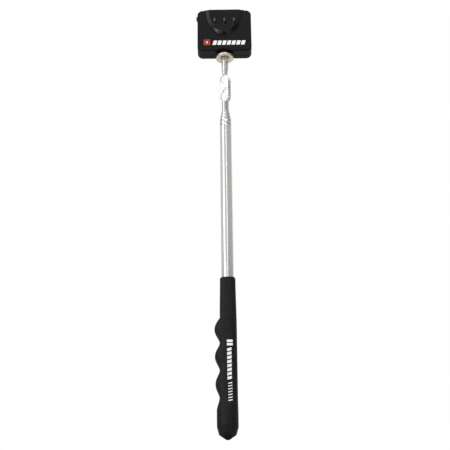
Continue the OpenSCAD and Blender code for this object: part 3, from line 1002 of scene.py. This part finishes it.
def build_cover():
    cover = build_shell("back_cover_moulded", -1)
    beyond = 5.0
    combine(cover, prism("cut", door_outline(0, beyond), -FACE_Y - 1, -INNER_Y + 0.3))
    combine(cover, prism("cut", door_outline(TONGUE + DOOR_GAP, beyond), -FACE_Y + LIP, -INNER_Y + 0.3))
    (x0, y0, z0), (x1, y1, z1) = button_stem()
    fit = SLIDE_FIT
    slot = [(x0, z0 - fit), (x1 + 2, z0 - fit), (x1 + 2, z1 + fit), (x0, z1 + fit)]
    combine(cover, prism("cut", slot, y0 - fit, y1 + fit))
    keep_flats_flat(cover)
    put(cover, "head", SHELL_BLACK, "head_plastic", "back_cover")


LENS_R = 3.0
SCREW_HEAD_R = 1.8
SCREW_HEAD_DEPTH = 1.3


def build_housing():
    housing = build_shell("head_housing_moulded", 1)
    plate_low, plate_high = low("pole_plate"), high("pole_plate")
    fit = SLIDE_FIT
    window = rounded([
        (plate_low.x - fit, plate_low.z - fit, 0), (plate_high.x + fit, plate_low.z - fit, 0),
        (plate_high.x + fit, plate_high.z + fit, 0), (plate_low.x - fit, plate_high.z + fit, 0)
    ])
    combine(housing, prism("cut", window, INNER_Y - 1, FACE_Y + 1))
    for x, z in lens_places():
        combine(housing, rod_y("cut", x, z, LENS_R + fit, INNER_Y - 1, FACE_Y + 1))
    for x, z in screw_places():
        head_hole = rod_y("cut", x, z, SCREW_HEAD_R + fit, FACE_Y - SCREW_HEAD_DEPTH, FACE_Y + 1)
        combine(housing, head_hole)
    keep_flats_flat(housing)
    put(housing, "head", SHELL_BLACK, "head_plastic", "head_housing")


def lens_places():
    lens_low, lens_high = low("led_lenses"), high("led_lenses")
    z = (lens_low.z + lens_high.z) / 2
    x = lens_high.x - (lens_high.z - lens_low.z) / 2
    return [(-x, z), (x, z)]


def screw_places():
    screw_low, screw_high = low("cover_screws"), high("cover_screws")
    r = SCREW_HEAD_R
    return [
        (x, z)
        for x in (screw_low.x + r, screw_high.x - r)
        for z in (screw_low.z + r, screw_high.z - r)
    ]


# ---------------------------------------------------------------- battery door

NUB_X = 8.2
NUB_Z = HEAD_Z1 - 12.8
NUB_HALF_W = 1.8
NUB_HALF_L = 4.3
NUB_RISE = 1.0


def ellipse_share(across, down, power):
    """How far out a point lies: 1 on the outline of a squared ellipse of that power."""
    return (abs(across) ** power + down**power) ** (1 / power)


def soft_abs(value, soft):
    """The distance from 0, with its corner at 0 rounded, and 1 at 1."""
    return (math.hypot(value, soft) - soft) / (math.hypot(1, soft) - soft)


def door_relief(x, z):
    """Height of the door's skin above the cover's face."""
    drop = HEAD_Z1 - z
    depth = drop / (DOOR_B - DOOR_GAP)
    half = (DOOR_A - DOOR_GAP) * (1 + DOOR_FLARE * (1 - depth))
    to_edge = ellipse_share(x / half, depth, DOOR_POWER)
    to_top = ellipse_share(x / DOOR_TOP_A, drop / DOOR_TOP_B, DOOR_TOP_POWER)
    slope = 1.0
    if to_top > 1:
        slope = clamp((1 / to_edge - 1) / (1 / to_edge - 1 / to_top))
    height = DOOR_RISE * mix(slope, smoothstep(0, 1, slope), 0.85)
    if drop < DOOR_TOP_ROUND:
        height -= DOOR_TOP_ROUND - math.sqrt(max(0.0, DOOR_TOP_ROUND**2 - (DOOR_TOP_ROUND - drop) ** 2))
    along = (z - NUB_Z) / NUB_HALF_L
    for nub_x in (-NUB_X, 0, NUB_X):
        across = (x - nub_x) / NUB_HALF_W
        crest = 1 - soft_abs(along, 0.2)
        if crest > abs(across):
            height += NUB_RISE * math.sqrt(crest * crest - across * across)
    return max(height, 0.02)


def build_door():
    rows, columns = 130, 200
    bm = bmesh.new()
    skin = []
    for i in range(rows):
        share = math.sin(math.radians(90 * i / (rows - 1)))
        z = HEAD_Z1 - (DOOR_B - DOOR_GAP) * share
        half = door_half(share, -DOOR_GAP)
        if half < 1e-6:
            skin.append([bm.verts.new((0, -FACE_Y - 0.02, z))] * columns)
            continue
        skin.append(add_loop(bm, [
            (x, -FACE_Y - door_relief(x, z), z) for x in spread(-half, half, columns)
        ]))
    for lower, upper in zip(skin, skin[1:]):
        bridge(bm, lower, upper, closed=False)
    rim = skin[0] + [row[-1] for row in skin[1:]] + [row[0] for row in skin[-2:0:-1]]
    base = add_loop(bm, [(v.co.x, DOOR_BACK, v.co.z) for v in rim])
    bridge(bm, rim, base)
    bm.faces.new(base)
    door = make_object("battery_door_moulded", bm, 50)
    tongue = prism("tongue", door_outline(TONGUE), -FACE_Y + LIP + DOOR_GAP, DOOR_BACK - 0.01)
    combine(door, tongue, "UNION", 50)
    put(door, "door", DOOR_BLACK, "door_plastic", "battery_door")


# ---------------------------------------------------------------- switch, lenses, screws

def button_stem():
    """Corners of the part of the button that passes through the cover's side."""
    lowest, highest = low("switch_button"), high("switch_button")
    grown_y, grown_z = 0.4, 0.25
    inner_x = -HEAD_HALF_W + HEAD_WALL + SLIDE_FIT
    return (
        (lowest.x, lowest.y + grown_y, lowest.z + grown_z),
        (inner_x, highest.y - grown_y, highest.z - grown_z)
    )


def build_button():
    lowest, highest = low("switch_button"), high("switch_button")
    start, end = button_stem()
    cap = round_box("switch_button_cap", start, (end[0] + 0.4, *end[1:]), 0.35)
    flange = round_box("flange", (end[0], lowest.y, lowest.z), highest, 0.1, 2)
    combine(cap, flange, "UNION")
    put(cap, "button", BUTTON_BLACK, "button_plastic", "switch_button")


def build_lenses():
    """A slightly domed clear window over each lamp."""
    for side, (x, z) in zip(("left", "right"), lens_places()):
        y0, y1 = low("led_lenses").y, high("led_lenses").y
        depth = y1 - y0
        lens = lathe("lamp_window_" + side, rounded([
            (0, 0, 0), (LENS_R, 0, 0.15), (LENS_R, depth - 0.35, 0.15), (0.8 * LENS_R, depth - 0.08, 0.6),
            (0, depth, 0)
        ], closed=False), 64)
        facing_back = Matrix.Rotation(-math.pi / 2, 4, "X")
        lens.data.transform(Matrix.Translation(Vector((x, y0, z)) * MM) @ facing_back)
        put(lens, "head", LENS_CLEAR, "lens_clear", "led_lenses")


# ---------------------------------------------------------------- floor, light and camera

FLOOR_R = 6000
FLOOR_GAP = 0.2


def floor_material():
    """A pale matt floor. Shiny surfaces mirror it darker in front of the tool and beside it, the camera
    sees it fade into the white background with distance, and it is clear from below."""
    shader = Shader("pale floor", (0.86, 0.86, 0.86), 0.7, specular=0.2)
    shader.vary_colour(shader.grain(6, 3), 0.985, 1.01)
    tint = shader.surface.inputs["Base Color"].links[0].from_socket
    path = shader.node("ShaderNodeLightPath")
    place = shader.node("ShaderNodeTexCoord")
    split = shader.node("ShaderNodeSeparateXYZ")
    shader.link(place.outputs["Object"], split.inputs["Vector"])
    beside = shader.remap(shader.maths("ABSOLUTE", split.outputs["X"], 0), 0.0, 0.68, 0.09, 0.16)
    behind = shader.remap(split.outputs["Y"], 0.03, 0.68, -0.25, 0.15)
    mirrored = shader.node("ShaderNodeMix")
    mirrored.data_type = "RGBA"
    shader.link(path.outputs["Is Glossy Ray"], mirrored.inputs["Factor"])
    shader.link(tint, mirrored.inputs["A"])
    shader.link(shader.maths("MAXIMUM", beside, behind), mirrored.inputs["B"])
    shader.link(mirrored.outputs["Result"], shader.surface.inputs["Base Color"])
    distance = shader.node("ShaderNodeVectorMath")
    distance.operation = "LENGTH"
    shader.link(place.outputs["Object"], distance.inputs[0])
    far = shader.remap(distance.outputs["Value"], 0.0, 1.0, 0.35, 1.6)
    white = shader.node("ShaderNodeEmission").outputs["Emission"]
    fading = shader.maths("MULTIPLY", far, path.outputs["Is Camera Ray"])
    top = shader.choose(fading, shader.surface.outputs["BSDF"], white)
    below = shader.node("ShaderNodeNewGeometry").outputs["Backfacing"]
    clear_below = shader.choose(below, top, shader.node("ShaderNodeBsdfTransparent").outputs["BSDF"])
    shader.link(clear_below, shader.tree.nodes["Material Output"].inputs["Surface"])
    return shader.material


def build_floor():
    bm = bmesh.new()
    bmesh.ops.create_circle(bm, cap_ends=True, segments=96, radius=FLOOR_R)
    bmesh.ops.translate(bm, vec=(0, 0, CAD_BOX[0][2] / MM - FLOOR_GAP), verts=bm.verts)
    floor = make_object("floor", bm)
    floor.data.materials.append(floor_material())


def build_world():
    """White to the camera, even light for matt surfaces, and a grey room for shiny ones to mirror:
    brighter on the left than on the right, and darker overhead and near the floor."""
    world = bpy.data.worlds.new("studio")
    bpy.context.scene.world = world
    world.use_nodes = True
    tree = world.node_tree
    room = tree.nodes["Background"]
    path = tree.nodes.new("ShaderNodeLightPath")
    place = tree.nodes.new("ShaderNodeTexCoord")
    split = tree.nodes.new("ShaderNodeSeparateXYZ")
    tree.links.new(place.outputs["Generated"], split.inputs["Vector"])

    def fade(value, low_in, high_in, low_out, high_out):
        ramp = tree.nodes.new("ShaderNodeMapRange")
        ramp.interpolation_type = "SMOOTHSTEP"
        for socket, number in zip(RAMP_LIMITS, (low_in, high_in, low_out, high_out)):
            ramp.inputs[socket].default_value = number
        tree.links.new(value, ramp.inputs["Value"])
        return ramp.outputs["Result"]

    def times(a, b):
        product = tree.nodes.new("ShaderNodeMath")
        product.operation = "MULTIPLY"
        tree.links.new(a, product.inputs[0])
        tree.links.new(b, product.inputs[1])
        return product.outputs["Value"]

    def pick(choice, otherwise, level):
        """A flat light level for one kind of ray, and another shader's light for the rest."""
        flat = tree.nodes.new("ShaderNodeBackground")
        flat.inputs["Color"].default_value = (level, level, level, 1)
        chooser = tree.nodes.new("ShaderNodeMixShader")
        tree.links.new(path.outputs[choice], chooser.inputs["Fac"])
        tree.links.new(otherwise, chooser.inputs[1])
        tree.links.new(flat.outputs["Background"], chooser.inputs[2])
        return chooser.outputs["Shader"]

    left_to_right = fade(split.outputs["X"], -1, 1, 0.66, 0.52)
    overhead = fade(split.outputs["Z"], 0.555, 0.66, 1.0, 0.25)
    horizon = fade(split.outputs["Z"], 0.24, 0.36, 0.3, 1.0)
    level = times(times(left_to_right, overhead), horizon)
    tree.links.new(level, room.inputs["Color"])
    light = pick("Is Diffuse Ray", room.outputs["Background"], 0.9)
    light = pick("Is Camera Ray", light, 1.0)
    tree.links.new(light, tree.nodes["World Output"].inputs["Surface"])


def soft_light(name, azimuth_deg, distance, height, width, tall, watts):
    """An upright soft panel around the tool. Azimuth 0 is the camera's side, and + is to its right."""
    angle = math.radians(azimuth_deg)
    panel = bpy.data.lights.new(name, "AREA")
    panel.shape = "RECTANGLE"
    panel.size = width
    panel.size_y = tall
    panel.energy = watts
    light = bpy.data.objects.new(name, panel)
    bpy.context.scene.collection.objects.link(light)
    light.location = (distance * math.sin(angle), -distance * math.cos(angle), height)
    aim = Vector((0, 0, CAD_BOX[1][2] / 2)) - light.location
    light.rotation_euler = aim.to_track_quat("-Z", "Y").to_euler()
    light.visible_camera = False


def build_lights():
    # name, azimuth, distance, height, width, tall, watts
    soft_light("key_panel", -52, 1.3, 0.80, 0.62, 1.3, 3.4)
    soft_light("front_panel", 5, 1.4, 0.82, 0.20, 0.74, 0.75)
    soft_light("low_left_panel", -29, 1.0, 0.29, 0.40, 0.24, 1.45)
    soft_light("overhead_panel", 0, 0.42, 1.30, 0.8, 0.5, 5.0)
    soft_light("rear_left_panel", -150, 1.4, 0.7, 0.5, 1.2, 0.7)
    soft_light("rear_right_panel", 140, 1.4, 0.7, 0.5, 1.2, 1.2)


def build_camera():
    """A long lens below the tool's middle, looking up at it, with a slight roll."""
    focal_share = 1100 / 450
    sensor = 36.0
    rise_deg = 24.8
    distance = 0.857
    aim_z = 0.1692
    aim_x = -0.0015
    roll_deg = 0.72
    rise = math.radians(rise_deg)
    forward = Vector((0, math.cos(rise), math.sin(rise)))
    up = Vector((0, -math.sin(rise), math.cos(rise)))
    right = Vector((1, 0, 0))
    roll = math.radians(roll_deg)
    up, right = up * math.cos(roll) + right * math.sin(roll), right * math.cos(roll) - up * math.sin(roll)
    camera = bpy.data.cameras.new("camera")
    camera.sensor_width = sensor
    camera.lens = sensor * focal_share
    camera.clip_start = 0.01
    holder = bpy.data.objects.new("camera", camera)
    bpy.context.scene.collection.objects.link(holder)
    place = Vector((aim_x, 0, aim_z)) - forward * distance
    axes = Matrix((right, up, -forward)).transposed()
    holder.matrix_world = Matrix.Translation(place) @ axes.to_4x4()
    bpy.context.scene.camera = holder


def main():
    finish_cad_nodes()
    build_grip()
    print_grip()
    build_tube("outer_tube", "handle", "second_tube")
    build_tube("second_tube", "second_stage", "third_tube")
    build_tube("third_tube", "third_stage", "inner_tube")
    build_inner_tube()
    build_ball_stud()
    build_plate("link_plate_front_pressed", "link_plate_front", -1)
    build_plate("link_plate_back_pressed", "link_plate_back", 1)
    build_stem()
    build_bushing()
    build_cover()
    build_housing()
    build_door()
    print_head()
    build_button()
    build_lenses()
    for node, radius in EDGE_ROUNDS.items():
        round_edges(node, radius)
    build_floor()
    build_world()
    build_lights()
    build_camera()
    bpy.context.scene.view_settings.view_transform = "Standard"


main()
